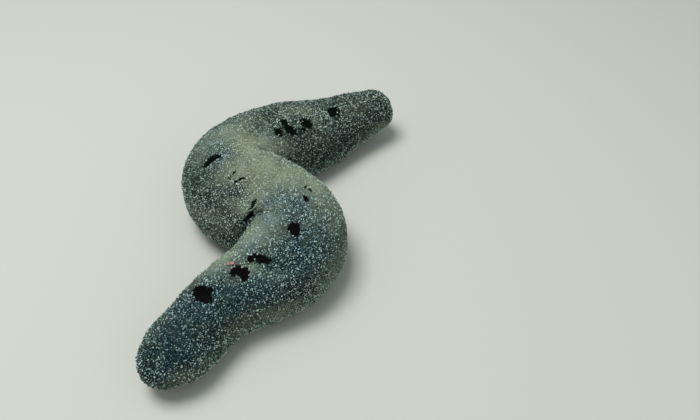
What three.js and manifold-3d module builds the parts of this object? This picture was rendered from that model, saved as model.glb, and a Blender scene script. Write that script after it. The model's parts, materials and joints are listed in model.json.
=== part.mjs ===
// A black sea cucumber at rest on the sea floor, bent into an S, sizes in millimetres, +Z up.
// It lies along +Y: the mouth end is at the low end of Y and the raised tail at the high end.
// The body is one tube round a bent midline, parted into lengths by thin straight cuts.
import * as THREE from "three";
import { mergeVertices } from "three/addons/utils/BufferGeometryUtils.js";
import Module from "manifold-3d";

// The midline on the floor, from the mouth tip to the tail tip.
const BODY_LENGTH = 280;
const MOUTH_TIP = { x: -53.867, y: -99.766 };
const START_HEADING = 61.2;
const NECK_TURN = { angle: -24.5, until: 0.3 };
const FORE_BEND = { at: 0.363, length: 0.182, angle: 111.0, inner: 1 };
const HIND_BEND = { at: 0.593, length: 0.224, angle: -115.8, inner: -1 };
const MIDLINE_STEPS = 400;

// The cross-section: half widths at equal steps of the length, and its height to its width.
const HALF_WIDTHS = [14.0, 17.9, 21.2, 24.9, 27.4, 25.5, 24.4, 18.6, 11.8];
const HEIGHT_TO_WIDTH = 0.85;
const WIDEST_AT_HEIGHT = 0.47;
const BELLY_DROP = 1.12;
const BACK_ROUNDNESS = 2.1;
const BELLY_ROUNDNESS = 2.7;
const SOLE_HEIGHT = 1.0;

// Swells and waists of one flank: where, which side (+1 left, -1 right), how much, how far.
const FLANK_SWELLS = [
    { at: 0.05, side: -1, by: 1.3, reach: 0.045 },
    { at: 0.17, side: -1, by: -3.5, reach: 0.055 },
    { at: 0.27, side: -1, by: 0.8, reach: 0.055 },
    { at: 0.46, side: -1, by: 0.8, reach: 0.05 },
    { at: 0.88, side: -1, by: -1.4, reach: 0.06 },
    { at: 0.1, side: 1, by: -1.3, reach: 0.06 },
    { at: 0.24, side: 1, by: -0.6, reach: 0.06 },
    { at: 0.54, side: 1, by: 1.8, reach: 0.05 },
    { at: 0.7, side: 1, by: -0.8, reach: 0.06 },
];

// The two rounded ends.
const MOUTH_CAP = { length: 21.0, roundness: 2.08, lift: 4.5, liftUntil: 0.12 };
const TAIL_CAP = { length: 10.3, roundness: 2.83, lift: 9.0, liftFrom: 0.82 };
const CAP_DROOP = 0.12;

// On the inner side of a bend the flesh is pinched, pressed on itself and wrinkled.
const PINCH = { limit: 0.94, sharpness: 6 };
const FOLD_PRESS = { from: 12, to: 16, softness: 0.6 };
const WRINKLES = { depth: 0.6, spacing: 5.2, reach: 17 };

// Before the fore bend and after it the squeezed flesh stands up: how much fuller its shoulder is,
// as a share, and its flank, how near the bend that is full and gone, and the turnover between.
const FOLD_SWELL = {
    full: 10,
    none: 38,
    turnover: 20,
    before: { shoulder: 0.25, flank: 4.5 },
    after: { shoulder: 0.12, flank: 2.5 },
};

// The body's lengths, each from its cut to the next, and the gap that parts them.
const CUT_GAP = 0.3;
const LENGTHS = [
    { name: "oral_end", from: 0, to: 0.1 },
    { name: "fore_body", from: 0.1, to: 0.26 },
    { name: "fore_bend_lower", from: 0.26, to: FORE_BEND.at },
    { name: "fore_bend_upper", from: FORE_BEND.at, to: 0.45 },
    { name: "mid_body", from: 0.45, to: 0.51 },
    { name: "hind_bend_lower", from: 0.51, to: HIND_BEND.at },
    { name: "hind_bend_upper", from: HIND_BEND.at, to: 0.7 },
    { name: "hind_body", from: 0.7, to: 0.88 },
    { name: "anal_end", from: 0.88, to: 1 },
];
const RING_SIDES = 30;
const RING_SPACING = { plain: 4.8, fold: 2.6, foldReach: 16, tip: 0.04, tipGrowth: 0.7 };

// Tube feet under the sole, each ending in a small flat sucker on the floor.
const FOOT = { sucker: 1.35, waist: 0.75, root: 0.9, lip: 0.4, sunk: 1.3, sides: 6 };
const FOOT_ROWS = { spacing: 6.4, even: [-0.84, 0.0, 0.84], odd: [-0.46, 0.46], jitter: 0.07, stagger: 0.4 };
const SOLE_SPREAD = 0.66;
const CUT_MARGIN = 1.9;

// Papillae scattered over the back.
const PAPILLA = { radius: 1.05, height: 1.0, sunk: 0.8, sides: 5 };
const PAPILLA_ROWS = { spacing: 8.6, across: 6, spread: 80, jitter: 0.3, clearOfPatch: 2, clearOfFold: 24 };

// Bare patches where no sand lies, in two rows along the back, with slits and streaks near
// the bends: place along the length, angle from the midline of the back in degrees (+ left),
// half sizes, and for a slanting one its turn in degrees.
const PATCHES = [
    { at: 0.146, angle: 5, along: 4.0, across: 6.4 },
    { at: 0.212, angle: -9, along: 4.0, across: 5.0 },
    { at: 0.2515, angle: -8, along: 3.6, across: 4.8 },
    { at: 0.324, angle: -6, along: 3.3, across: 3.6 },
    { at: 0.382, angle: -12, along: 1.9, across: 1.8 },
    { at: 0.4, angle: -21, along: 1.1, across: 2.4, turn: 20 },
    { at: 0.4218, angle: 54, along: 1.1, across: 5.4, turn: -29 },
    { at: 0.4383, angle: 36, along: 1.2, across: 2.9 },
    { at: 0.4904, angle: 20, along: 0.9, across: 2.7, turn: -29 },
    { at: 0.5565, angle: 21, along: 2.5, across: 4.6 },
    { at: 0.7087, angle: -31, along: 2.0, across: 3.4, turn: 24 },
    { at: 0.732, angle: -28, along: 2.6, across: 5.6, turn: 20 },
    { at: 0.7725, angle: -31, along: 3.2, across: 4.0, turn: 30 },
    { at: 0.8485, angle: -18, along: 4.2, across: 3.7 },
    { at: 0.12, angle: 63, along: 4.2, across: 3.8 },
    { at: 0.185, angle: 60, along: 4.4, across: 4.0 },
    { at: 0.468, angle: -66, along: 4.2, across: 3.8 },
    { at: 0.72, angle: 36, along: 4.2, across: 4.0 },
    { at: 0.795, angle: 40, along: 4.0, across: 3.6 },
    { at: 0.875, angle: 42, along: 3.4, across: 3.0 },
];
const PATCH_CUT = { depth: 1.0, height: 3, sides: 11, ragged: 0.14 };

// The mouth: a flared pit under the tip, with a disc and a crown of shield-shaped tentacles.
const MOUTH = { at: 0.036, pitch: 70, pitRadius: 6.4, flare: 3.0, depth: 3.4 };
const ORAL_DISC = { radius: 5.9, thickness: 1.6, gullet: 1.5, gulletDepth: 1.1, sides: 24 };
const TENTACLES = { count: 20, ring: 4.1, length: 3.2, splay: [18, 33], stalk: 0.5, head: 1.05 };

// The anus: a pleated pit in the raised tail tip, with five small papillae round it.
const ANUS = { radius: 1.7, pleat: 0.14, pleats: 5, depth: 4.0, sides: 20, rim: 3.0, rise: 14 };
const ANAL_PAPILLA = { ring: 3.9, radius: 0.9, height: 1.5, sunk: 2.2, splay: 28, back: 1.5, count: 5 };

const UP = new THREE.Vector3(0, 0, 1);
const radians = THREE.MathUtils.degToRad;

// Smooth step from 0 to 1.
function smooth(t) {
    const s = THREE.MathUtils.clamp(t, 0, 1);
    return s * s * (3 - 2 * s);
}

// A repeatable random number from 0 to 1.
function seeded(seed) {
    let state = seed;
    return () => {
        state = (state * 1664525 + 1013904223) % 4294967296;
        return state / 4294967296;
    };
}

// The midline's heading in radians at the share u of its length.
function heading(u) {
    const degrees = START_HEADING
        + NECK_TURN.angle * smooth(u / NECK_TURN.until)
        + FORE_BEND.angle * smooth((u - FORE_BEND.at) / FORE_BEND.length + 0.5)
        + HIND_BEND.angle * smooth((u - HIND_BEND.at) / HIND_BEND.length + 0.5);
    return radians(degrees);
}

// Points of the midline, stepped along its heading.
const midline = [{ ...MOUTH_TIP }];
for (let i = 0; i < MIDLINE_STEPS; i++) {
    const step = BODY_LENGTH / MIDLINE_STEPS;
    const turn = (heading(i / MIDLINE_STEPS) + heading((i + 1) / MIDLINE_STEPS)) / 2;
    const last = midline[i];
    midline.push({ x: last.x + Math.cos(turn) * step, y: last.y + Math.sin(turn) * step });
}

// The midline's point, heading and bend (radians per millimetre) at u.
function midlineAt(u) {
    const place = THREE.MathUtils.clamp(u, 0, 1) * MIDLINE_STEPS;
    const i = Math.min(Math.floor(place), MIDLINE_STEPS - 1);
    const t = place - i;
    const h = 1 / MIDLINE_STEPS;
    return {
        x: THREE.MathUtils.lerp(midline[i].x, midline[i + 1].x, t),
        y: THREE.MathUtils.lerp(midline[i].y, midline[i + 1].y, t),
        heading: heading(u),
        bend: (heading(u + h) - heading(u - h)) / (2 * h * BODY_LENGTH),
    };
}

// The half width at u, a smooth curve through the stations.
function halfWidth(u) {
    const last = HALF_WIDTHS.length - 1;
    const place = THREE.MathUtils.clamp(u, 0, 1) * last;
    const i = Math.min(Math.floor(place), last - 1);
    const t = place - i;
    const a = HALF_WIDTHS[Math.max(i - 1, 0)];
    const b = HALF_WIDTHS[i];
    const c = HALF_WIDTHS[i + 1];
    const d = HALF_WIDTHS[Math.min(i + 2, last)];
    const bend = (2 * a - 5 * b + 4 * c - d) * t * t;
    const twist = (3 * b - a - 3 * c + d) * t * t * t;
    return 0.5 * (2 * b + (c - a) * t + bend + twist);
}

// How far the section has grown from a rounded end, 0 at the tip to 1.
function capGrowth(distance, cap) {
    const t = THREE.MathUtils.clamp(distance / cap.length, 0, 1);
    return Math.pow(Math.max(1 - Math.pow(1 - t, cap.roundness), 0), 1 / cap.roundness);
}

// A rounded-square curve's coordinate from a sine or cosine.
function squared(value, roundness) {
    return Math.sign(value) * Math.pow(Math.abs(value), 2 / roundness);
}

// Cross wrinkles on the inner side of one bend.
function wrinkle(u, phi, fold) {
    const along = (u - fold.at) * BODY_LENGTH;
    const window = smooth(1 - Math.abs(along) / WRINKLES.reach);
    const inner = smooth(Math.sin(phi) * fold.inner);
    return WRINKLES.depth * window * inner * (0.5 - 0.5 * Math.cos((2 * Math.PI * along) / WRINKLES.spacing));
}

// Presses a point back to its own side of the upright plane through the middle of a bend.
function pressAtFold(point, u, fold) {
    const middle = midlineAt(fold.at);
    const ahead = { x: Math.cos(middle.heading), y: Math.sin(middle.heading) };
    const offset = { x: point.x - middle.x, y: point.y - middle.y };
    const inward = (offset.y * ahead.x - offset.x * ahead.y) * fold.inner;
    const side = u < fold.at ? -1 : 1;
    const clear = (offset.x * ahead.x + offset.y * ahead.y) * side;
    const weight = smooth((inward - FOLD_PRESS.from) / (FOLD_PRESS.to - FOLD_PRESS.from));
    const softened = clear / 2 + Math.hypot(clear / 2, FOLD_PRESS.softness) + CUT_GAP / 2;
    const push = (softened - clear) * weight * side;
    point.x += ahead.x * push;
    point.y += ahead.y * push;
}

// How much fuller the shoulder and the flank of one side are near the fore bend.
function foldSwell(u, side) {
    const { full, none, turnover, before, after } = FOLD_SWELL;
    const off = (u - FORE_BEND.at) * BODY_LENGTH;
    const window = side === FORE_BEND.inner ? smooth((none - Math.abs(off)) / (none - full)) : 0;
    const over = smooth(off / turnover + 0.5);
    return {
        shoulder: window * THREE.MathUtils.lerp(before.shoulder, after.shoulder, over),
        flank: window * THREE.MathUtils.lerp(before.flank, after.flank, over),
    };
}

// A point of the body's surface: u along it, phi round it from the middle of the back.
function bodyPoint(u, phi) {
    const line = midlineAt(u);
    const plainHalf = halfWidth(u);
    const height = 2 * plainHalf * HEIGHT_TO_WIDTH;
    const growth = capGrowth(u * BODY_LENGTH, MOUTH_CAP) * capGrowth((1 - u) * BODY_LENGTH, TAIL_CAP);
    const lift = TAIL_CAP.lift * smooth((u - TAIL_CAP.liftFrom) / (1 - TAIL_CAP.liftFrom))
        + MOUTH_CAP.lift * smooth((MOUTH_CAP.liftUntil - u) / MOUTH_CAP.liftUntil);
    const side = Math.sign(Math.sin(phi));
    const roundness = Math.cos(phi) >= 0 ? BACK_ROUNDNESS : BELLY_ROUNDNESS;
    const across = squared(Math.sin(phi), roundness);
    const upward = squared(Math.cos(phi), roundness);
    let half = plainHalf;
    for (const swell of FLANK_SWELLS) {
        const reach = (u - swell.at) / swell.reach;
        half += swell.side === side ? swell.by * Math.exp(-reach * reach) : 0;
    }
    const { shoulder, flank } = foldSwell(u, side);
    const fuller = Math.cos(phi) >= 0 ? 1 + shoulder * Math.pow(Math.sin(2 * phi), 4) : 1;
    const crease = 1 - (wrinkle(u, phi, FORE_BEND) + wrinkle(u, phi, HIND_BEND)) / plainHalf;
    const fullAcross = across * (half + flank) * growth * fuller;
    const tightness = (Math.abs(fullAcross) * Math.max(line.bend * side, 0)) / PINCH.limit;
    const pinch = Math.pow(1 + Math.pow(tightness, PINCH.sharpness), 1 / PINCH.sharpness);
    const reachAcross = (fullAcross * crease) / pinch;
    const middle = WIDEST_AT_HEIGHT * height;
    const reachUp = (upward >= 0 ? height - middle : middle * BELLY_DROP) * growth * fuller * crease;
    const z = middle + lift + upward * reachUp - (1 - growth) * CAP_DROOP * height;
    const point = new THREE.Vector3(
        line.x - Math.sin(line.heading) * reachAcross,
        line.y + Math.cos(line.heading) * reachAcross,
        Math.max(z, SOLE_HEIGHT)
    );
    pressAtFold(point, u, FORE_BEND);
    pressAtFold(point, u, HIND_BEND);
    return point;
}

// A matrix that sets +Z on the surface's outward normal and +X along the body.
function surfaceFrame(u, phi) {
    const step = 1e-3;
    const along = bodyPoint(u + step, phi).sub(bodyPoint(u - step, phi)).normalize();
    const round = bodyPoint(u, phi + step * 4).sub(bodyPoint(u, phi - step * 4)).normalize();
    const normal = new THREE.Vector3().crossVectors(along, round).normalize();
    const cross = new THREE.Vector3().crossVectors(normal, along).normalize();
    const ahead = new THREE.Vector3().crossVectors(cross, normal);
    return new THREE.Matrix4().makeBasis(ahead, cross, normal).setPosition(bodyPoint(u, phi));
}

// A closed skin over rings of like count, shut by a fan to a point at each end.
function loft(rings, startPoint, endPoint) {
    const sides = rings[0].length;
    const points = [...rings.flat(), startPoint, endPoint];
    const first = rings.length * sides;
    const faces = [];
    for (let j = 0; j < sides; j++) {
        const k = (j + 1) % sides;
        faces.push([first, k, j]);
        for (let i = 0; i < rings.length - 1; i++) {
            const near = i * sides;
            const far = near + sides;
            faces.push([near + j, near + k, far + k], [near + j, far + k, far + j]);
        }
        const last = (rings.length - 1) * sides;
        faces.push([last + j, last + k, first + 1]);
    }
    const geometry = new THREE.BufferGeometry();
    const flat = points.flatMap((p) => [p.x, p.y, p.z]);
    geometry.setAttribute("position", new THREE.Float32BufferAttribute(flat, 3));
    geometry.setIndex(faces.flat());
    return facingOut(geometry);
}

// Turns the faces round where they point inwards.
function facingOut(geometry) {
    const at = geometry.attributes.position;
    const index = geometry.index.array;
    const corner = (i) => new THREE.Vector3().fromBufferAttribute(at, index[i]);
    let volume = 0;
    for (let i = 0; i < index.length; i += 3) {
        volume += corner(i).dot(corner(i + 1).cross(corner(i + 2)));
    }
    if (volume < 0) {
        for (let i = 0; i < index.length; i += 3) {
            [index[i], index[i + 1]] = [index[i + 1], index[i]];
        }
    }
    return geometry;
}

// A turned form on +Z from pairs of radius and height, with an optional change of radius round it.
function turned(profile, sides, shape = () => 1) {
    const rings = profile.map(([radius, z]) => Array.from({ length: sides }, (_, j) => {
        const angle = (j / sides) * 2 * Math.PI;
        const r = radius * shape(angle);
        return new THREE.Vector3(r * Math.cos(angle), r * Math.sin(angle), z);
    }));
    const start = new THREE.Vector3(0, 0, profile[0][1]);
    const end = new THREE.Vector3(0, 0, profile[profile.length - 1][1]);
    return loft(rings, start, end);
}

// A pointed form on +Z with its base sunk below the surface.
function cone(radius, height, sunk, sides) {
    const base = Array.from({ length: sides }, (_, j) => {
        const angle = (j / sides) * 2 * Math.PI;
        return new THREE.Vector3(radius * Math.cos(angle), radius * Math.sin(angle), -sunk);
    });
    return loft([base], new THREE.Vector3(0, 0, -sunk), new THREE.Vector3(0, 0, height));
}

const wasm = await Module();
wasm.setup();

// A solid that can be joined and cut, from a closed geometry.
function toSolid(geometry) {
    const merged = mergeVertices(geometry, 1e-4);
    const mesh = new wasm.Mesh({
        numProp: 3,
        vertProperties: new Float32Array(merged.attributes.position.array),
        triVerts: new Uint32Array(merged.index.array),
    });
    return new wasm.Manifold(mesh);
}

// The geometry of a solid's largest closed surface.
function toGeometry(solid) {
    const pieces = solid.decompose().sort((a, b) => b.volume() - a.volume());
    const mesh = pieces[0].getMesh();
    const geometry = new THREE.BufferGeometry();
    geometry.setAttribute("position", new THREE.BufferAttribute(mesh.vertProperties, 3));
    geometry.setIndex(new THREE.BufferAttribute(mesh.triVerts, 1));
    return geometry;
}

// Places of the rings between two cuts, close together at the tips and the folds.
function ringPlaces(from, to) {
    const places = [from];
    let u = from;
    while (u < to) {
        const fromTip = Math.min(u, 1 - u) * BODY_LENGTH;
        const fromFold = Math.min(Math.abs(u - FORE_BEND.at), Math.abs(u - HIND_BEND.at)) * BODY_LENGTH;
        const plain = fromFold < RING_SPACING.foldReach ? RING_SPACING.fold : RING_SPACING.plain;
        const growth = RING_SPACING.tipGrowth;
        const perMillimetre = u < 0.5 ? growth : growth / (1 + growth);
        const spacing = Math.min(plain, RING_SPACING.tip + perMillimetre * fromTip);
        u += spacing / BODY_LENGTH;
        places.push(u);
    }
    const stretch = (to - from) / (places[places.length - 1] - from);
    return places.map((place) => from + (place - from) * stretch);
}

// One length of the body, with each cut face drawn back by half the gap.
function bodyLength({ from, to }) {
    const inset = 1e-6;
    const places = ringPlaces(from, to).filter((u) => u > 0 && u < 1);
    const rings = places.map((u) => {
        const held = THREE.MathUtils.clamp(u, from + inset, to - inset);
        return Array.from({ length: RING_SIDES }, (_, j) => bodyPoint(held, (j / RING_SIDES) * 2 * Math.PI));
    });
    const ends = [[rings[0], from, 1], [rings[rings.length - 1], to, -1]].map(([ring, u, side]) => {
        if (u === 0 || u === 1) {
            return bodyPoint(u, 0);
        }
        const turn = heading(u);
        const inward = (side * CUT_GAP) / 2;
        const back = new THREE.Vector3(Math.cos(turn) * inward, Math.sin(turn) * inward, 0);
        ring.forEach((point) => point.add(back));
        return ring.reduce((sum, point) => sum.add(point), new THREE.Vector3()).divideScalar(RING_SIDES);
    });
    return toSolid(loft(rings, ends[0], ends[1]));
}

// True where a place is clear of a length's cuts by the margin.
function clearOfCuts(u, { from, to }, margin) {
    const start = from === 0 ? -1 : from + margin / BODY_LENGTH;
    const end = to === 1 ? 2 : to - margin / BODY_LENGTH;
    return u > start && u < end;
}

// The tube feet of one length, from its sole to the floor.
function tubeFeet(length) {
    const random = seeded(11);
    const feet = [];
    const rows = Math.floor(BODY_LENGTH / FOOT_ROWS.spacing);
    for (let row = 1; row < rows; row++) {
        for (const share of row % 2 ? FOOT_ROWS.odd : FOOT_ROWS.even) {
            const shift = (random() - 0.5) * FOOT_ROWS.jitter * 2;
            const u = (row + (random() - 0.5) * FOOT_ROWS.stagger) / rows;
            const across = (share + shift) * SOLE_SPREAD;
            const tilt = Math.sign(across) * Math.asin(Math.pow(Math.abs(across), BELLY_ROUNDNESS / 2));
            const root = bodyPoint(u, Math.PI - tilt);
            if (!clearOfCuts(u, length, CUT_MARGIN) || root.z > SOLE_HEIGHT + 0.01) {
                continue;
            }
            const profile = [
                [FOOT.sucker, 0],
                [FOOT.waist, FOOT.lip],
                [FOOT.root, SOLE_HEIGHT + FOOT.sunk],
            ];
            const foot = turned(profile, FOOT.sides).rotateZ(random() * Math.PI);
            feet.push(toSolid(foot.translate(root.x, root.y, 0)));
        }
    }
    return feet;
}

// How far a place on the back is from the nearest bare patch's rim.
function distanceFromPatches(point) {
    return Math.min(...PATCHES.map((patch) => {
        const centre = bodyPoint(patch.at, radians(patch.angle));
        return centre.distanceTo(point) - Math.max(patch.along, patch.across);
    }));
}

// The papillae on the back of one length.
function papillae(length) {
    const random = seeded(29);
    const cones = [];
    const rows = Math.floor(BODY_LENGTH / PAPILLA_ROWS.spacing);
    for (let row = 1; row < rows; row++) {
        for (let i = 0; i < PAPILLA_ROWS.across; i++) {
            const shift = (random() - 0.5) * PAPILLA_ROWS.jitter * 2;
            const u = (row + (random() - 0.5) * PAPILLA_ROWS.jitter * 2) / rows;
            const place = ((i + 0.5 + shift) / PAPILLA_ROWS.across) * 2 - 1;
            const phi = radians(place * PAPILLA_ROWS.spread);
            const size = 0.8 + 0.4 * random();
            const fold = [FORE_BEND, HIND_BEND].some((bend) => {
                const near = Math.abs(u - bend.at) * BODY_LENGTH < PAPILLA_ROWS.clearOfFold;
                return near && Math.sin(phi) * bend.inner > 0.2;
            });
            const clear = clearOfCuts(u, length, CUT_MARGIN);
            if (fold || !clear || distanceFromPatches(bodyPoint(u, phi)) < PAPILLA_ROWS.clearOfPatch) {
                continue;
            }
            const one = cone(PAPILLA.radius * size, PAPILLA.height * size, PAPILLA.sunk, PAPILLA.sides);
            cones.push(toSolid(one.applyMatrix4(surfaceFrame(u, phi))));
        }
    }
    return cones;
}

// The ragged flat-bottomed cutters of the bare patches that reach into one length.
function patchCutters({ from, to }) {
    const { depth, height, sides, ragged } = PATCH_CUT;
    return PATCHES.flatMap((patch, i) => {
        const reach = (patch.along * 1.3) / BODY_LENGTH;
        if (patch.at + reach < from || patch.at - reach > to) {
            return [];
        }
        const random = seeded(101 + i);
        const radii = Array.from({ length: sides }, () => 1 + (random() - 0.5) * 2 * ragged);
        const ring = (z) => radii.map((r, j) => {
            const angle = (j / sides) * 2 * Math.PI;
            const x = patch.along * r * Math.cos(angle);
            const y = patch.across * r * Math.sin(angle);
            return new THREE.Vector3(x, y, z);
        });
        const bottom = new THREE.Vector3(0, 0, -depth);
        const form = loft([ring(-depth), ring(height)], bottom, new THREE.Vector3(0, 0, height));
        form.rotateZ(radians(patch.turn ?? 0));
        return [toSolid(form.applyMatrix4(surfaceFrame(patch.at, radians(patch.angle))))];
    });
}

// The mouth's frame: its centre on the underside of the tip, +Z out along its axis.
function mouthFrame() {
    const turn = heading(0);
    const pitch = radians(MOUTH.pitch);
    const ahead = new THREE.Vector3(-Math.cos(turn), -Math.sin(turn), 0);
    const axis = ahead.clone().multiplyScalar(Math.cos(pitch)).addScaledVector(UP, -Math.sin(pitch));
    const side = new THREE.Vector3().crossVectors(UP, ahead).normalize();
    const top = new THREE.Vector3().crossVectors(axis, side);
    return new THREE.Matrix4().makeBasis(side, top, axis).setPosition(bodyPoint(MOUTH.at, Math.PI));
}

// The flared pit that the mouth sits in.
function mouthPit() {
    const profile = [
        [MOUTH.pitRadius * 0.97, -MOUTH.depth],
        [MOUTH.pitRadius, -MOUTH.depth * 0.3],
        [MOUTH.pitRadius + MOUTH.flare, 6],
    ];
    return toSolid(turned(profile, 20).applyMatrix4(mouthFrame()));
}

// One tentacle: a short stalk that widens into a lobed shield.
function tentacle(index) {
    const { stalk, head, length, splay, ring, count } = TENTACLES;
    const outer = index % 2;
    const reach = length * (outer ? 1 : 0.86);
    const lobes = (angle) => 1 + 0.16 * Math.cos(3 * angle);
    const profile = [
        [stalk, -1.0],
        [stalk * 0.9, reach * 0.62],
        [head, reach * 0.86],
        [head * 0.55, reach],
    ];
    const form = turned(profile, 6, lobes);
    form.rotateY(radians(splay[outer]));
    form.translate(ring, 0, 0);
    form.rotateZ((index / count) * 2 * Math.PI);
    return toSolid(form.applyMatrix4(discFrame()));
}

// The disc's frame: the mouth's, drawn back so that the disc's outer face is at zero.
function discFrame() {
    const back = MOUTH.depth - CUT_GAP - ORAL_DISC.thickness;
    return mouthFrame().multiply(new THREE.Matrix4().makeTranslation(0, 0, -back));
}

// The oral disc with its gullet and its crown of tentacles, in one body.
function oralDisc() {
    const { radius, thickness, gullet, gulletDepth, sides } = ORAL_DISC;
    const disc = toSolid(turned([[radius, -thickness], [radius, -0.2], [radius - 0.4, 0]], sides)
        .applyMatrix4(discFrame()));
    const hole = toSolid(turned([[gullet * 0.6, -gulletDepth], [gullet, 0.2], [gullet * 1.1, 1]], 10)
        .applyMatrix4(discFrame()));
    const crown = Array.from({ length: TENTACLES.count }, (_, i) => tentacle(i));
    return wasm.Manifold.union([disc, ...crown]).subtract(hole);
}

// The tail tip's frame, +Z out along the raised tail.
function anusFrame() {
    const turn = heading(1);
    const rise = radians(ANUS.rise);
    const axis = new THREE.Vector3(Math.cos(turn), Math.sin(turn), 0).multiplyScalar(Math.cos(rise));
    axis.addScaledVector(UP, Math.sin(rise));
    const side = new THREE.Vector3().crossVectors(UP, axis).normalize();
    const top = new THREE.Vector3().crossVectors(axis, side);
    return new THREE.Matrix4().makeBasis(side, top, axis).setPosition(bodyPoint(1, 0));
}

// The pleated pit of the anus.
function anusPit() {
    const pleated = (angle) => 1 + ANUS.pleat * Math.cos(ANUS.pleats * angle);
    const profile = [
        [ANUS.radius * 0.35, -ANUS.depth],
        [ANUS.radius, -1.6],
        [ANUS.rim, 1.2],
    ];
    return toSolid(turned(profile, ANUS.sides, pleated).applyMatrix4(anusFrame()));
}

// The papillae that stand round the anus.
function analPapillae() {
    const { ring, radius, height, sunk, splay, back, count } = ANAL_PAPILLA;
    return Array.from({ length: count }, (_, i) => {
        const form = cone(radius, height, sunk, 6);
        form.rotateY(radians(splay));
        form.translate(ring, 0, -back);
        form.rotateZ(((i + 0.5) / count) * 2 * Math.PI);
        return toSolid(form.applyMatrix4(anusFrame()));
    });
}

// One length of the body with all that grows on it.
function dressedLength(length) {
    const added = [bodyLength(length), ...tubeFeet(length), ...papillae(length)];
    if (length.name === "anal_end") {
        added.push(...analPapillae());
    }
    let solid = wasm.Manifold.union(added);
    for (const cutter of patchCutters(length)) {
        solid = solid.subtract(cutter);
    }
    if (length.name === "oral_end") {
        solid = solid.subtract(mouthPit());
    }
    if (length.name === "anal_end") {
        solid = solid.subtract(anusPit());
    }
    return solid;
}

const skin = new THREE.MeshStandardMaterial({ color: 0x2b3438, roughness: 0.7, metalness: 0 });
const mouthTissue = new THREE.MeshStandardMaterial({ color: 0x3a3230, roughness: 0.5, metalness: 0 });

// A named mesh from a solid.
function named(name, solid, material) {
    const mesh = new THREE.Mesh(toGeometry(solid), material);
    mesh.name = name;
    return mesh;
}

const seaCucumber = new THREE.Group();
for (const length of LENGTHS) {
    seaCucumber.add(named(length.name, dressedLength(length), skin));
}
seaCucumber.add(named("oral_disc", oralDisc(), mouthTissue));

export default seaCucumber;
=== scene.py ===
"""A black sea cucumber with a coat of sand, resting in an S bend on a pale floor.

One skin runs the whole length of the body. Sand, silt, papillae and tube feet are scattered on it by
Geometry Nodes from masks that are painted on the skin by name: the same masks colour skin and sand.
Body sizes are in millimetres and are turned into metres where a mesh is made.
"""
import itertools
import json
import math

import bmesh
import bpy
import numpy as np
from mathutils import Matrix, Vector

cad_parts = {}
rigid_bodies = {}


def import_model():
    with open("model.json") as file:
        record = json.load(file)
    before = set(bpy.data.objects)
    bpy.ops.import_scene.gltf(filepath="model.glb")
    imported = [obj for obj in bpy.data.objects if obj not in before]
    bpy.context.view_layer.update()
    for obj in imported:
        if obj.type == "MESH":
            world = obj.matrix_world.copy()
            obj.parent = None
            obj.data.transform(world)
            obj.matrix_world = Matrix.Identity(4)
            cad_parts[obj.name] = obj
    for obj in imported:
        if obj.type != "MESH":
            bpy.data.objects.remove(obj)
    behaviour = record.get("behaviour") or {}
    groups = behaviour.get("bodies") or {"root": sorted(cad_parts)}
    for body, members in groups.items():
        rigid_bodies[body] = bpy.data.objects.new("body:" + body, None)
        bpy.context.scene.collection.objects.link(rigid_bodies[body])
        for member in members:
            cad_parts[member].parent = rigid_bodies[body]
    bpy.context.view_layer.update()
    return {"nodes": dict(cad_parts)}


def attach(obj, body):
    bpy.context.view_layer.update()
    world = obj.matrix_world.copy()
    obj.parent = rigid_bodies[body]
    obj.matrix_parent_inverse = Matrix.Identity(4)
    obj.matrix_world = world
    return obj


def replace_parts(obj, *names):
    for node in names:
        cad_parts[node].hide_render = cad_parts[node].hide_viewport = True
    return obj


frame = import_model()

MM = 0.001
ROOT = "root"

# The midline on the floor, from the mouth tip to the tail tip.
BODY_LENGTH = 280.0
MOUTH_TIP = (-53.867, -99.766)
START_HEADING = 61.2
NECK_TURN = {"angle": -24.5, "until": 0.3}
FORE_BEND = {"at": 0.363, "length": 0.182, "angle": 111.0, "inner": 1}
HIND_BEND = {"at": 0.593, "length": 0.224, "angle": -115.8, "inner": -1}
BENDS = (FORE_BEND, HIND_BEND)
MIDLINE_STEPS = 400

# The cross-section.
HALF_WIDTHS = [14.0, 17.9, 21.2, 24.9, 27.4, 25.5, 24.4, 18.6, 11.8]
HEIGHT_TO_WIDTH = 0.85
WIDEST_AT_HEIGHT = 0.47
BELLY_DROP = 1.12
BACK_ROUNDNESS = 2.1
BELLY_ROUNDNESS = 2.7
SOLE_HEIGHT = 1.0
FLANK_SWELLS = [
    # place, side (+1 left), by, reach
    (0.05, -1, 1.3, 0.045),
    (0.17, -1, -3.5, 0.055),
    (0.27, -1, 0.8, 0.055),
    (0.46, -1, 0.8, 0.05),
    (0.88, -1, -1.4, 0.06),
    (0.10, 1, -1.3, 0.06),
    (0.24, 1, -0.6, 0.06),
    (0.54, 1, 1.8, 0.05),
    (0.70, 1, -0.8, 0.06),
]

# The two ends, the folds and the wrinkles.
MOUTH_CAP = {"length": 21.0, "roundness": 2.08, "lift": 4.5, "lift_until": 0.12}
TAIL_CAP = {"length": 10.3, "roundness": 2.83, "lift": 9.0, "lift_from": 0.82}
CAP_DROOP = 0.12
PINCH = {"limit": 0.94, "sharpness": 6}
FOLD_PRESS = {"from": 12.0, "to": 16.0, "softness": 0.45, "gap": 0.1}
FOLD_SWELL = {
    # the flesh squeezed up on the inner side of the fore bend, before it and after it
    "full": 10.0, "none": 38.0, "turnover": 20.0,
    "shoulder": (0.25, 0.12), "flank": (4.5, 2.5),
}
WRINKLES = {"depth": 0.6, "spacing": 5.2, "reach": 17.0}

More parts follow.
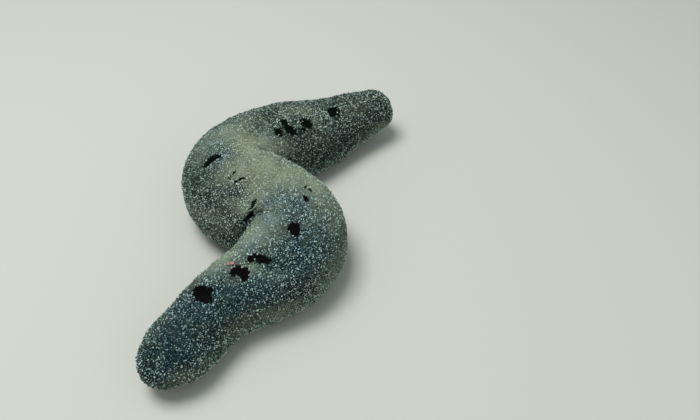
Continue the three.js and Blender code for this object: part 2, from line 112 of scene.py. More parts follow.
# The skin lies inside the solids by the depth of the sand on it. Its relief is in layers of smooth
# noise, each with its height, lump size and seed, and in faint rings.
COAT_DEPTH = 0.5
SKIN_STEP = 0.54
SKIN_COLUMNS = 160
LUMPS = ((0.30, 5.5, 8), (0.16, 2.4, 9))
PORES = ((0.10, 1.3, 10),)
RINGS = {"height": 0.05, "spacing": 2.9, "waver": (5.0, 9.0, 11)}
ZONE_EDGES = ((0.24, 9.0, 1), (0.16, 3.2, 2))
BLUE_EDGES = ((0.6, 4.0, 3),)

# The mouth pit and the anus.
MOUTH = {"at": 0.036, "pitch": 70.0, "radius": 6.9, "rim": 1.6, "depth": 3.3}
ANUS = {"radius": 1.2, "rim": 2.0, "pleat": 0.22, "pleats": 10, "depth": 3.4, "rise": 14.0}

# The camera: the photograph's frame, and the floor point that one of its pixels shows.
PHOTO_SIZE = (700, 420)
FLOOR_PIXEL = (265, 240)
FLOOR_POINT = Vector((-12.768, -4.163, 0.0)) * MM
CAMERA_DISTANCE = 0.368
CAMERA_PITCH = math.radians(45.0)
CAMERA_FIELD = math.radians(55.0)


def smooth(t):
    """A smooth step from 0 to 1."""
    t = np.clip(t, 0.0, 1.0)
    return t * t * (3 - 2 * t)


def heading(u):
    """The midline's heading in radians at the share u of its length."""
    degrees = START_HEADING + NECK_TURN["angle"] * smooth(u / NECK_TURN["until"])
    for bend in BENDS:
        degrees = degrees + bend["angle"] * smooth((u - bend["at"]) / bend["length"] + 0.5)
    return np.radians(degrees)


MIDLINE_U = np.linspace(0.0, 1.0, MIDLINE_STEPS + 1)
_turn = heading(MIDLINE_U)
_middle_turn = (_turn[1:] + _turn[:-1]) / 2
MIDLINE_X = MOUTH_TIP[0] + np.r_[0, np.cumsum(np.cos(_middle_turn))] * BODY_LENGTH / MIDLINE_STEPS
MIDLINE_Y = MOUTH_TIP[1] + np.r_[0, np.cumsum(np.sin(_middle_turn))] * BODY_LENGTH / MIDLINE_STEPS


def half_width(u):
    """The body's half width at u, a smooth curve through the stations."""
    widths = np.asarray(HALF_WIDTHS)
    last = len(widths) - 1
    place = np.clip(u, 0, 1) * last
    i = np.minimum(place.astype(int), last - 1)
    t = place - i
    a, b = widths[np.maximum(i - 1, 0)], widths[i]
    c, d = widths[i + 1], widths[np.minimum(i + 2, last)]
    bend = (2 * a - 5 * b + 4 * c - d) * t * t
    twist = (3 * b - a - 3 * c + d) * t**3
    return 0.5 * (2 * b + (c - a) * t + bend + twist)


def cap_growth(distance, cap):
    """How far the section has grown from a rounded end, 0 at the tip to 1."""
    t = np.clip(distance / cap["length"], 0, 1)
    return np.maximum(1 - (1 - t) ** cap["roundness"], 0) ** (1 / cap["roundness"])


def growth(u):
    """How far the section has grown from both ends."""
    return cap_growth(u * BODY_LENGTH, MOUTH_CAP) * cap_growth((1 - u) * BODY_LENGTH, TAIL_CAP)


def squared(value, roundness):
    """A rounded-square curve's coordinate from a sine or cosine."""
    return np.sign(value) * np.abs(value) ** (2 / roundness)


def wrinkle(u, phi, bend):
    """Cross wrinkles on the inner side of one bend, in millimetres of depth."""
    along = (u - bend["at"]) * BODY_LENGTH
    window = smooth(1 - np.abs(along) / WRINKLES["reach"])
    inner = smooth(np.sin(phi) * bend["inner"])
    return WRINKLES["depth"] * window * inner * (0.5 - 0.5 * np.cos(2 * np.pi * along / WRINKLES["spacing"]))


def press_at_fold(x, y, u, bend):
    """Presses points back to their own side of the upright plane through the middle of a bend."""
    turn = heading(np.array(bend["at"]))
    ahead = (math.cos(turn), math.sin(turn))
    off_x = x - np.interp(bend["at"], MIDLINE_U, MIDLINE_X)
    off_y = y - np.interp(bend["at"], MIDLINE_U, MIDLINE_Y)
    inward = (off_y * ahead[0] - off_x * ahead[1]) * bend["inner"]
    side = np.where(u < bend["at"], -1.0, 1.0)
    clear = (off_x * ahead[0] + off_y * ahead[1]) * side
    weight = smooth((inward - FOLD_PRESS["from"]) / (FOLD_PRESS["to"] - FOLD_PRESS["from"]))
    softened = clear / 2 + np.hypot(clear / 2, FOLD_PRESS["softness"]) + FOLD_PRESS["gap"]
    push = (softened - clear) * weight * side
    return x + ahead[0] * push, y + ahead[1] * push


def fold_swell(u, side):
    """How much fuller the shoulder is, as a share, and the flank, in millimetres, near the fore bend."""
    off = (u - FORE_BEND["at"]) * BODY_LENGTH
    window = smooth((FOLD_SWELL["none"] - np.abs(off)) / (FOLD_SWELL["none"] - FOLD_SWELL["full"]))
    window = window * (side == FORE_BEND["inner"])
    after = smooth(off / FOLD_SWELL["turnover"] + 0.5)
    return [window * (first + (last - first) * after)
            for first, last in (FOLD_SWELL["shoulder"], FOLD_SWELL["flank"])]


def body_surface(u, phi):
    """Points of the body's outer surface: u along it, phi round it from the middle of the back."""
    u, phi = np.broadcast_arrays(np.asarray(u, float), np.asarray(phi, float))
    plain = half_width(u)
    turn = heading(u)
    step = 1 / MIDLINE_STEPS
    bend = (heading(u + step) - heading(u - step)) / (2 * step * BODY_LENGTH)
    height = 2 * plain * HEIGHT_TO_WIDTH
    grown = growth(u)
    lift = TAIL_CAP["lift"] * smooth((u - TAIL_CAP["lift_from"]) / (1 - TAIL_CAP["lift_from"]))
    lift = lift + MOUTH_CAP["lift"] * smooth((MOUTH_CAP["lift_until"] - u) / MOUTH_CAP["lift_until"])
    side = np.sign(np.sin(phi))
    roundness = np.where(np.cos(phi) >= 0, BACK_ROUNDNESS, BELLY_ROUNDNESS)
    across = squared(np.sin(phi), roundness)
    upward = squared(np.cos(phi), roundness)
    half = plain
    for place, swell_side, by, reach in FLANK_SWELLS:
        half = half + by * np.exp(-(((u - place) / reach) ** 2)) * (side == swell_side)
    shoulder, flank = fold_swell(u, side)
    fuller = 1 + shoulder * np.sin(2 * phi) ** 4 * (np.cos(phi) >= 0)
    crease = 1 - (wrinkle(u, phi, FORE_BEND) + wrinkle(u, phi, HIND_BEND)) / plain
    reach_across = across * (half + flank) * grown * fuller
    tightness = np.abs(reach_across) * np.maximum(bend * side, 0) / PINCH["limit"]
    reach_across = reach_across * crease / (1 + tightness ** PINCH["sharpness"]) ** (1 / PINCH["sharpness"])
    middle = WIDEST_AT_HEIGHT * height
    reach_up = np.where(upward >= 0, height - middle, middle * BELLY_DROP) * grown * fuller * crease
    z = middle + lift + upward * reach_up - (1 - grown) * CAP_DROOP * height
    x = np.interp(u, MIDLINE_U, MIDLINE_X) - np.sin(turn) * reach_across
    y = np.interp(u, MIDLINE_U, MIDLINE_Y) + np.cos(turn) * reach_across
    for fold in BENDS:
        x, y = press_at_fold(x, y, u, fold)
    return np.stack([x, y, np.maximum(z, SOLE_HEIGHT)], -1)


def unit(v):
    """Vectors of length 1."""
    return v / np.maximum(np.linalg.norm(v, axis=-1, keepdims=True), 1e-9)


def surface_frame(u, phi):
    """At one place of the body: its point, the way along, the way across and the outward normal."""
    step = 1e-3
    point = body_surface(u, phi)
    along = unit(body_surface(u + step, phi) - body_surface(u - step, phi))
    round_it = unit(body_surface(u, phi + 4 * step) - body_surface(u, phi - 4 * step))
    normal = unit(np.cross(along, round_it))
    return point, unit(np.cross(np.cross(normal, along), normal)), unit(np.cross(normal, along)), normal


def lump_noise(points, size, seed):
    """Smooth noise from -1 to 1 with lumps of the given size in millimetres."""
    p = points / size + seed * 17.31
    cell = np.floor(p).astype(np.int64)
    t = p - cell
    t = t * t * (3 - 2 * t)
    total = np.zeros(points.shape[:-1])
    for corner in itertools.product((0, 1), repeat=3):
        c = cell + np.array(corner)
        code = (c[..., 0] * 73856093) ^ (c[..., 1] * 19349663) ^ (c[..., 2] * 83492791)
        code = (code * 2654435761 + seed * 40503) & 0xFFFFFFFF
        code = ((code >> 15) ^ code) * 2246822519 & 0xFFFFFFFF
        value = ((code >> 8) & 0xFFFF) / 32767.5 - 1
        weight = np.prod(np.where(np.array(corner), t, 1 - t), axis=-1)
        total += value * weight
    return total


def layered(points, layers):
    """The sum of layers of smooth noise."""
    return sum(height * lump_noise(points, size, seed) for height, size, seed in layers)


# The bare field: how many millimetres it takes to fall from inside a patch to 0 outside it, and how
# high it stands inside. The patches of the hind half have frayed rims and some sand left on them.
BARE_FIELD = {"fore": (2.6, 1.0), "hind": (3.8, 0.80), "hind_from": 0.5}

# Bare patches: each is one or more blobs, given by their place along the body, angle from the middle
# of the back in degrees (+ left), half sizes along and across in millimetres, and turn in degrees.
BARE_BLOBS = [
    # the large patch of the fore body, a blunt diamond
    (0.1455, 5, 3.4, 6.6, -4),
    (0.1460, 3, 4.2, 3.4, 0),
    (0.1580, 1, 1.5, 1.9, 0),
    # the second patch, in two lobes
    (0.2080, -3, 3.2, 2.6, 25),
    (0.2150, -12, 2.8, 2.8, -20),
    (0.2130, -19, 2.0, 1.9, 0),
    # the third, a short slanting bar
    (0.2430, -1, 2.6, 2.1, 0),
    (0.2520, -9, 2.5, 2.6, 35),
    (0.2600, -16, 1.4, 1.8, 0),
    # the fourth, a blunt square
    (0.3256, -4, 3.1, 3.3, -2),
    (0.3210, -9, 2.4, 2.8, -43),
    # a slit down the crease of the fore bend, and one above it
    (0.4218, 54, 1.1, 5.4, -29),
    (0.4383, 36, 1.1, 2.9, 9),
    # streaks behind the fore bend
    (0.3830, -11, 1.7, 1.3, 20),
    (0.3790, -13, 1.0, 2.0, 30),
    (0.4010, -21, 0.8, 2.4, 25),
    (0.3940, -22, 1.4, 0.8, 10),
    # a thin streak and specks on the mid body
    (0.4904, 20, 0.9, 2.9, -29),
    (0.5082, 22, 0.8, 1.5, 18),
    (0.5075, 16, 0.8, 1.1, 1),
    # a curved streak on the outer side of the hind bend
    (0.5539, 27, 2.2, 2.4, 39),
    (0.5575, 20, 2.4, 2.8, 9),
    (0.5560, 14, 2.2, 2.0, 30),
    # slanting patches and a round one on the hind body
    (0.7087, -31, 2.1, 3.6, 24),
    (0.7301, -22, 2.3, 3.4, 14),
    (0.7336, -33, 2.9, 3.8, 25),
    (0.7736, -30, 3.3, 4.0, 32),
    (0.7622, -37, 1.4, 1.9, 3),
    (0.8485, -18, 4.4, 3.7, 22),
    # the rest of the two rows, on the sides that face away
    (0.120, 63, 4.2, 3.8, 0),
    (0.185, 60, 4.4, 4.0, 10),
    (0.468, -66, 4.2, 3.8, 0),
    (0.720, 36, 4.2, 4.0, 0),
    (0.795, 40, 4.0, 3.6, 0),
    (0.875, 42, 3.4, 3.0, 0),
]

# Where pale silt lies: place, angle, reach along, reach in degrees, amount.
SILT_ZONES = [
    (0.48, -12, 0.075, 36, 1.00),
    (0.44, 12, 0.045, 26, 0.85),
    (0.54, -26, 0.070, 28, 1.00),
    (0.60, -30, 0.060, 34, 1.00),
    (0.65, -44, 0.060, 24, 1.00),
    (0.63, 6, 0.050, 26, 0.75),
    (0.38, 40, 0.050, 36, 0.70),
    (0.41, -36, 0.045, 28, 0.95),
    (0.39, -58, 0.040, 24, 0.70),
    (0.27, 30, 0.075, 24, 0.90),
    (0.21, 36, 0.045, 24, 0.90),
    (0.11, 62, 0.080, 22, 0.25),
    (0.20, -100, 0.200, 22, 0.28),
    (0.34, -92, 0.050, 34, 0.40),
    (0.50, 12, 0.060, 18, 0.70),
    (0.77, -2, 0.040, 22, 0.30),
    (0.93, -104, 0.050, 14, 0.40),
    (0.225, -15, 0.022, 10, 0.60),
    (0.43, -14, 0.050, 30, 0.95),
    (0.325, 22, 0.040, 16, 0.90),
    (0.46, 44, 0.035, 18, 0.55),
    (0.60, 24, 0.045, 22, 0.60),
    (0.49, 78, 0.050, 14, 0.40),
    (0.38, 18, 0.030, 14, 0.80),
]

# Where the coat is darker: where the dark speckle is densest, and on the lower right flanks of the fore bend
# and the hind body also painted shade.
DARK_SPECKLE_AND_SHADE_ZONES = [
    (0.06, -20, 0.080, 60, 1.00),
    (0.14, -44, 0.080, 34, 0.95),
    (0.20, -62, 0.070, 26, 0.70),
    (0.31, -36, 0.050, 30, 0.45),
    (0.28, -64, 0.060, 18, 0.60),
    (0.505, 66, 0.040, 26, 0.40),
    (0.560, 50, 0.040, 34, 0.85),
    (0.64, 48, 0.070, 30, 0.90),
    (0.75, 40, 0.090, 30, 0.80),
    (0.88, 30, 0.090, 40, 0.75),
    # the lower right flank of the hind body: dark speckle with painted shade
    (0.85, -78, 0.120, 26, 1.00),
    (0.75, -62, 0.060, 30, 0.85),
    (0.94, -60, 0.060, 40, 0.80),
    (0.82, 14, 0.100, 22, 0.60),
    (0.10, 46, 0.100, 18, 0.60),
    # the lower right flank at the fore bend: dark speckle with painted shade
    (0.35, -70, 0.060, 20, 0.85),
    (0.30, -66, 0.050, 16, 0.70),
    (0.70, 4, 0.040, 20, 0.55),
]

# Where the coat has a blue cast.
BLUE_ZONES = [
    (0.13, 0, 0.070, 40, 0.90),
    (0.05, -20, 0.060, 70, 0.60),
    (0.20, -40, 0.070, 30, 0.85),
    (0.31, -34, 0.050, 34, 0.75),
    (0.37, 0, 0.035, 30, 0.70),
    (0.39, 20, 0.035, 22, 0.70),
    (0.55, 14, 0.020, 12, 0.75),
    (0.69, -30, 0.025, 16, 0.45),
    (0.33, 24, 0.045, 24, 0.80),
    (0.26, 14, 0.040, 22, 0.55),
    (0.60, 26, 0.040, 22, 0.50),
]


def zones(u, angle, table):
    """The sum of soft zones over the skin, from 0 to 1."""
    total = np.zeros_like(u)
    for place, middle, reach, spread, amount in table:
        away = ((u - place) / reach) ** 2 + ((angle - middle) / spread) ** 2
        total = np.maximum(total, amount * np.exp(-away))
    return total


def bare_mask(points):
    """A soft field over the bare patches, 1 inside, a half at the rim and 0 away from them."""
    mask = np.zeros(points.shape[:-1])
    for place, angle, along, across, turn in BARE_BLOBS:
        centre, forward, sideways, normal = surface_frame(place, math.radians(angle))
        off = points - centre
        near = np.abs(off @ normal) < 5.0
        c, s = math.cos(math.radians(turn)), math.sin(math.radians(turn))
        a = off @ forward
        b = off @ sideways
        distance = np.hypot((a * c + b * s) / along, (b * c - a * s) / across)
        outside = (distance - 1) * min(along, across)
        blend, top = BARE_FIELD["hind" if place > BARE_FIELD["hind_from"] else "fore"]
        mask = np.maximum(mask, np.clip(0.5 - outside / blend, 0, top) * near)
    return mask


def mouth_frame():
    """The mouth's matrix in millimetres: its centre under the tip, +Z out along its axis."""
    turn = float(heading(np.array(0.0)))
    pitch = math.radians(MOUTH["pitch"])
    ahead = Vector((-math.cos(turn), -math.sin(turn), 0))
    axis = ahead * math.cos(pitch) + Vector((0, 0, -math.sin(pitch)))
    side = Vector((0, 0, 1)).cross(ahead).normalized()
    return frame_matrix(side, axis.cross(side), axis, body_surface(MOUTH["at"], math.pi))


def anus_frame():
    """The anus's matrix in millimetres: the tail tip, +Z out along the raised tail."""
    turn = float(heading(np.array(1.0)))
    rise = math.radians(ANUS["rise"])
    axis = Vector((math.cos(turn) * math.cos(rise), math.sin(turn) * math.cos(rise), math.sin(rise)))
    side = Vector((0, 0, 1)).cross(axis).normalized()
    return frame_matrix(side, axis.cross(side), axis, body_surface(1.0, 0.0))


def frame_matrix(x, y, z, origin):
    """A matrix from three axes and an origin."""
    matrix = Matrix((x, y, z)).transposed().to_4x4()
    matrix.translation = Vector(origin)
    return matrix


def in_frame(points, matrix):
    """Points in a frame's own coordinates."""
    inverse = np.array(matrix.inverted())
    return points @ inverse[:3, :3].T + inverse[:3, 3]


def out_of_frame(points, matrix):
    """Points back from a frame's own coordinates."""
    m = np.array(matrix)
    return points @ m[:3, :3].T + m[:3, 3]


def sink_mouth(points):
    """Presses the mouth's pit into the skin."""
    local = in_frame(points, mouth_frame())
    r = np.hypot(local[..., 0], local[..., 1])
    inside = smooth((MOUTH["radius"] + MOUTH["rim"] - r) / MOUTH["rim"]) * (np.abs(local[..., 2]) < 7)
    local[..., 2] = local[..., 2] * (1 - inside) - MOUTH["depth"] * inside
    return out_of_frame(local, mouth_frame()), inside


def sink_anus(points):
    """Presses the pleated pit of the anus into the skin."""
    local = in_frame(points, anus_frame())
    angle = np.arctan2(local[..., 1], local[..., 0])
    r = np.hypot(local[..., 0], local[..., 1]) / (1 + ANUS["pleat"] * np.cos(ANUS["pleats"] * angle))
    inside = smooth((ANUS["radius"] + ANUS["rim"] - r) / (ANUS["radius"] + ANUS["rim"]))
    near = (np.abs(local[..., 2]) < 6).astype(float)
    swell = 0.45 * np.exp(-(((r - ANUS["radius"] - ANUS["rim"]) / 1.1) ** 2)) * near
    local[..., 2] += swell - ANUS["depth"] * inside**1.5 * near
    return out_of_frame(local, anus_frame()), inside * near


def ring_places():
    """Places of the skin's rings, at equal steps over the body's profile, tips included."""
    u = np.linspace(0, 1, 40001)
    radius = growth(u) * half_width(u)
    steps = np.hypot(np.diff(u) * BODY_LENGTH, np.diff(radius))
    arc = np.r_[0, np.cumsum(steps)]
    count = int(arc[-1] / SKIN_STEP)
    return np.interp(np.linspace(0, arc[-1], count + 1)[1:-1], arc, u)


def column_angles():
    """Angles round the section, closer on the back and the flanks than on the sole."""
    phi = np.linspace(-np.pi, np.pi, 4001)
    points = body_surface(0.25, phi)
    steps = np.linalg.norm(np.diff(points, axis=0), axis=-1)
    steps *= 1 - 0.5 * smooth((np.abs(phi[1:]) - 2.0) / 0.6)
    arc = np.r_[0, np.cumsum(steps)]
    return np.interp(np.arange(SKIN_COLUMNS) / SKIN_COLUMNS * arc[-1], arc, phi)


def grid_normals(points):
    """Outward normals of the skin's grid."""
    along = np.gradient(points, axis=0)
    round_it = np.roll(points, -1, axis=1) - np.roll(points, 1, axis=1)
    return unit(np.cross(along, round_it))


def grid_faces(rows, columns):
    """Quads of a closed tube, and its two tips as fans, as lists of vertex numbers."""
    i, j = np.meshgrid(np.arange(rows - 1), np.arange(columns), indexing="ij")
    k = (j + 1) % columns
    quads = np.stack([i * columns + j, (i + 1) * columns + j, (i + 1) * columns + k, i * columns + k], -1)
    first, last = rows * columns, rows * columns + 1
    j = np.arange(columns)
    k = (j + 1) % columns
    start = np.stack([np.full(columns, first), j, k], -1)
    base = (rows - 1) * columns
    end = np.stack([base + k, base + j, np.full(columns, last)], -1)
    return quads.reshape(-1, 4).tolist() + start.tolist() + end.tolist()


def link(obj):
    """Puts an object in the scene and returns it."""
    bpy.context.scene.collection.objects.link(obj)
    return obj


def paint_masks(mesh, masks):
    """Keeps the named masks on the skin: the grid's values and those of its two tips."""
    for name, (values, first, last) in masks.items():
        attribute = mesh.attributes.new(name, "FLOAT", "POINT")
        attribute.data.foreach_set("value", np.r_[values.ravel(), first, last].astype(np.float32))


def unwrap(mesh, u):
    """Unrolls the skin's grid into the bake map, so that no face runs back over the seam."""
    rows, columns = u.shape
    uv = mesh.uv_layers.new(name="OFBake")
    corner_vertex = np.zeros(len(mesh.loops), np.int64)
    mesh.loops.foreach_get("vertex_index", corner_vertex)
    column = np.r_[np.tile(np.arange(columns), rows), 0, 0]
    place = np.r_[u.ravel(), 0, 1]
    coords = np.stack([place[corner_vertex], column[corner_vertex] / columns], -1)
    totals = np.zeros(len(mesh.polygons), np.int64)
    mesh.polygons.foreach_get("loop_total", totals)
    face_of = np.repeat(np.arange(len(totals)), totals)
    highest = np.zeros(len(totals))
    np.maximum.at(highest, face_of, coords[:, 1])
    wraps = (highest[face_of] > 0.9) & (coords[:, 1] < 0.1)
    coords[wraps, 1] += 1.0
    coords = coords * np.array([0.988, 0.488]) + 0.006
    uv.data.foreach_set("uv", coords.astype(np.float32).ravel())


def make_skin():
    """The whole skin, with its bumps, pits and the masks that the coat and the colours read."""
    places = ring_places()
    u = np.repeat(places[:, None], SKIN_COLUMNS, 1)
    phi = np.repeat(column_angles()[None, :], len(places), 0)
    points = body_surface(u, phi)
    normals = grid_normals(points)
    degrees = np.degrees(phi)
    on_sole = smooth((SOLE_HEIGHT + 1.2 - points[..., 2]) / 1.0)
    bare = bare_mask(points)
    edges = layered(points, ZONE_EDGES)
    # The dark mask is the dark speckle and, on the lower right flanks, painted shade: it thins the silt and
    # darkens the grains.
    speckle_and_shade_zones = zones(u, degrees, DARK_SPECKLE_AND_SHADE_ZONES)
    silt = np.clip(zones(u, degrees, SILT_ZONES) + edges * (1 - 0.8 * speckle_and_shade_zones), 0, 1)
    dark = np.clip(speckle_and_shade_zones + edges * 0.4, 0, 1)
    blue = np.clip(zones(u, degrees, BLUE_ZONES) * (1 + layered(points, BLUE_EDGES)), 0, 1)
    waver = layered(points, (RINGS["waver"],))
    rings = RINGS["height"] * np.sin(u * BODY_LENGTH / RINGS["spacing"] * 2 * np.pi + waver)
    height = (layered(points, LUMPS) + rings) * (1 - 0.8 * on_sole) + layered(points, PORES) - COAT_DEPTH
    height = height - 0.15 * smooth(bare * 2 - 0.5)
    points = points + normals * height[..., None]
    points, in_mouth = sink_mouth(points)
    points, in_anus = sink_anus(points)
    points[..., 2] = np.maximum(points[..., 2], SOLE_HEIGHT + 0.2)
    tips = np.stack([points[0].mean(0), points[-1].mean(0)])
    vertices = np.vstack([points.reshape(-1, 3), tips]) * MM
    mesh = bpy.data.meshes.new("skin")
    mesh.from_pydata(vertices.tolist(), [], grid_faces(*u.shape))
    mesh.shade_smooth()
    opening = np.clip(in_mouth + smooth(in_anus * 2), 0, 1)
    sand = (1 - smooth(opening * 3)) * (1 - 0.65 * on_sole)
    rim = in_frame(points, mouth_frame())
    rim_r = np.hypot(rim[..., 0], rim[..., 1])
    collar = np.exp(-(((rim_r - MOUTH["radius"] - 1.9) / 0.8) ** 2)) * (np.abs(rim[..., 2]) < 6)
    back = smooth((np.cos(phi) + 0.1) / 0.4) * (1 - smooth(bare * 2)) * (1 - opening)
    paint_masks(mesh, {
        "along": (u, 0, 1),
        "bare": (bare, 0, 0),
        "silt": (silt, 0.3, 0.3),
        "dark": (dark, 0, 0),
        "blue": (blue, 0, 0),
        "coarse": (sand * (0.35 + 0.65 * (1 - silt)), 0.5, 0),
        "fine": (sand * (0.20 + 0.80 * silt), 0.5, 0),
        "back": (back, 0, 0),
        "feet": (smooth((on_sole - 0.55) / 0.3) * (1 - opening), 0, 0),
        "collar": (collar, 0, 0),
    })
    unwrap(mesh, u)
    return link(bpy.data.objects.new("skin", mesh))


class Tree:
    """A node tree under construction: adds nodes, sets their values and joins them.

    draw gives a random number, and keep stores a value on a geometry by name.
    """

    def __init__(self, tree):
        self.tree = tree

    def add(self, kind, inputs=None, **settings):
        node = self.tree.nodes.new(kind)
        for name, value in settings.items():
            setattr(node, name, value)
        for name, value in (inputs or {}).items():
            socket = node.inputs[name]
            if isinstance(value, bpy.types.NodeSocket):
                self.tree.links.new(value, socket)
            else:
                socket.default_value = value
        return node

    def math(self, operation, a, b=None, clamp=False):
        values = {0: a} if b is None else {0: a, 1: b}
        return self.add("ShaderNodeMath", values, operation=operation, use_clamp=clamp).outputs[0]

    def draw(self, low, high, seed):
        values = {2: low, 3: high, "Seed": seed}
        return self.add("FunctionNodeRandomValue", values, data_type="FLOAT").outputs[1]

    def keep(self, geometry, name, value, kind, domain="POINT"):
        given = {"Geometry": geometry, "Name": name, "Value": value}
        return self.add("GeometryNodeStoreNamedAttribute", given, data_type=kind, domain=domain).outputs[0]

    def join(self, start, end):
        self.tree.links.new(start, end)


def node_group(name, kind, inputs):
    """A node group whose one result is like its first input: a maker for its nodes, and its inputs."""
    tree = bpy.data.node_groups.new(name, kind)
    for way, sockets in (("INPUT", inputs), ("OUTPUT", inputs[:1])):
        for label, socket in sockets:
            tree.interface.new_socket(label, in_out=way, socket_type="NodeSocket" + socket)
    maker = Tree(tree)
    return maker, maker.add("NodeGroupInput").outputs


def named(maker, name, kind="FLOAT"):
    """A named attribute's value inside a geometry tree."""
    return maker.add("GeometryNodeInputNamedAttribute", {"Name": name}, data_type=kind).outputs["Attribute"]


def ramp_share(maker, value, low, high):
    """0 below low, 1 above high and smooth between."""
    given = {"Value": value, "From Min": low, "From Max": high}
    return maker.add("ShaderNodeMapRange", given, interpolation_type="SMOOTHSTEP").outputs[0]


def cut_ragged(maker, bare, where):
    """The bare field cut to a ragged rim: the same cut in the coat's tree and in the hide's material."""
    rag = maker.add("ShaderNodeTexNoise", {
        "Vector": where, "Scale": 620.0, "Detail": 3.0, "Roughness": 0.65,
    }).outputs["Fac"]
    moved = maker.math("ADD", bare, maker.math("MULTIPLY", maker.math("SUBTRACT", rag, 0.5), 1.6))
    return ramp_share(maker, moved, 0.47, 0.53)


def chosen(maker, collection):
    """The pieces of a collection as instances to choose from."""
    return maker.add("GeometryNodeCollectionInfo", {
        "Collection": collection, "Separate Children": True, "Reset Children": True,
    }).outputs[0]


def finished(maker, geometry, value):
    """Sets the given material, ends the tree and returns it."""
    looks = {"Geometry": geometry, "Material": value["Material"]}
    maker.add("NodeGroupOutput", {"Geometry": maker.add("GeometryNodeSetMaterial", looks).outputs[0]})
    return maker.tree


def scatter_tree():
    """Sets small pieces on the skin where a mask says, each with a bake patch at its own root."""
    m, value = node_group("Scatter on the skin", "GeometryNodeTree", [
        ("Geometry", "Geometry"), ("Pieces", "Collection"), ("Mask", "String"), ("From", "Float"),
        ("To", "Float"), ("Apart", "Float"), ("Density", "Float"), ("Seed", "Int"), ("Smallest", "Float"),
        ("Largest", "Float"), ("Tilt", "Float"), ("Sink", "Float"), ("Patch", "Float"),
        ("Material", "Material"),
    ])
    along = named(m, "along")
    after = m.math("GREATER_THAN", along, value["From"])
    before = m.math("LESS_THAN", along, value["To"])
    mask = m.math("MULTIPLY", named(m, value["Mask"]), m.math("MULTIPLY", after, before))
    bare = cut_ragged(m, named(m, "bare"), m.add("GeometryNodeInputPosition").outputs[0])
    mask = m.math("MULTIPLY", mask, m.math("SUBTRACT", 1.0, bare))
    spread = m.add("GeometryNodeDistributePointsOnFaces", {
        "Mesh": value["Geometry"], "Distance Min": value["Apart"], "Density Max": value["Density"],
        "Density Factor": mask, "Seed": value["Seed"],
    }, distribute_method="POISSON")
    points, normal = spread.outputs["Points"], spread.outputs["Normal"]
    root = m.keep(points, "root_uv", named(m, "OFBake", "FLOAT_VECTOR"), "FLOAT_VECTOR")
    root = m.keep(root, "tint", m.draw(0.0, 1.0, value["Seed"]), "FLOAT")
    sink = m.math("MULTIPLY", value["Sink"], -1.0)
    drop = m.add("ShaderNodeVectorMath", {0: normal, "Scale": sink}, operation="SCALE").outputs[0]
    root = m.add("GeometryNodeSetPosition", {"Geometry": root, "Offset": drop}).outputs[0]
    upright = m.add("FunctionNodeAlignRotationToVector", {"Vector": normal}, axis="Z").outputs[0]
    tilt = value["Tilt"]
    back = m.math("MULTIPLY", tilt, -1.0)
    lowest = m.add("ShaderNodeCombineXYZ", {"X": back, "Y": back}).outputs[0]
    highest = m.add("ShaderNodeCombineXYZ", {"X": tilt, "Y": tilt, "Z": math.tau}).outputs[0]
    turn_seed = m.math("ADD", value["Seed"], 7.0)
    turn = m.add("FunctionNodeRandomValue", {0: lowest, 1: highest, "Seed": turn_seed},
                 data_type="FLOAT_VECTOR").outputs[0]
    turned = m.add("FunctionNodeRotateRotation", {
        "Rotation": upright, "Rotate By": m.add("FunctionNodeEulerToRotation", {0: turn}).outputs[0],
    }, rotation_space="LOCAL").outputs[0]
    size = m.draw(value["Smallest"], value["Largest"], m.math("ADD", value["Seed"], 13.0))
    placed = m.add("GeometryNodeInstanceOnPoints", {
        "Points": root, "Instance": chosen(m, value["Pieces"]), "Pick Instance": True,
        "Rotation": turned, "Scale": size,
    }).outputs[0]
    real = m.add("GeometryNodeRealizeInstances", {"Geometry": placed}).outputs[0]
    patch = m.add("ShaderNodeVectorMath", {
        0: named(m, "patch_uv", "FLOAT_VECTOR"), "Scale": value["Patch"],
    }, operation="SCALE").outputs[0]
    uv = m.add("ShaderNodeVectorMath", {
        0: named(m, "root_uv", "FLOAT_VECTOR"), 1: patch,
    }, operation="ADD").outputs[0]
    return finished(m, m.keep(real, "OFBake", uv, "FLOAT2", "CORNER"), value)


def run_tree(name, tree, mesh, **inputs):
    """Runs a tree on a mesh and keeps the plain result as an object of its own."""
    holder = link(bpy.data.objects.new(name + "_holder", mesh))
    modifier = holder.modifiers.new("nodes", "NODES")
    modifier.node_group = tree
    for item in tree.interface.items_tree:
        if item.item_type == "SOCKET" and item.in_out == "INPUT" and item.name in inputs:
            modifier[item.identifier] = inputs[item.name]
    graph = bpy.context.evaluated_depsgraph_get()
    result = bpy.data.meshes.new_from_object(holder.evaluated_get(graph), depsgraph=graph)
    holder.modifiers.remove(modifier)
    bpy.data.objects.remove(holder)
    result.name = name
    for kept_out in ("root_uv", "patch_uv"):
        if kept_out in result.attributes:
            result.attributes.remove(result.attributes[kept_out])
    return link(bpy.data.objects.new(name, result))


def scattered(name, tree, skin, **inputs):
    """Scatters pieces over the whole skin, or from one place of it to another."""
    return run_tree(name, tree, skin.data, **{"From": -1.0, "To": 2.0, "Sink": 0.0, "Patch": 0.003, **inputs})


def add_patch_uv(mesh):
    """Gives a small piece flat coordinates about its middle, from -0.5 to 0.5, for its bake patch."""
    co = np.array([v.co for v in mesh.vertices])
    spread = max(np.abs(co[:, :2]).max(), 1e-9) * 2
    attribute = mesh.attributes.new("patch_uv", "FLOAT_VECTOR", "POINT")
    flat = np.c_[co[:, 0] / spread, co[:, 1] / spread, np.zeros(len(co))]
    attribute.data.foreach_set("vector", flat.astype(np.float32).ravel())


def piece_collection(name, meshes):
    """A collection, outside the scene, that holds small pieces to scatter."""
    collection = bpy.data.collections.new(name)
    for i, mesh in enumerate(meshes):
        add_patch_uv(mesh)
        collection.objects.link(bpy.data.objects.new(f"{name}_{i}", mesh))
    return collection


def discard(collection):
    """Removes a collection of small pieces once they are scattered."""
    for obj in list(collection.objects):
        bpy.data.objects.remove(obj)
    bpy.data.collections.remove(collection)


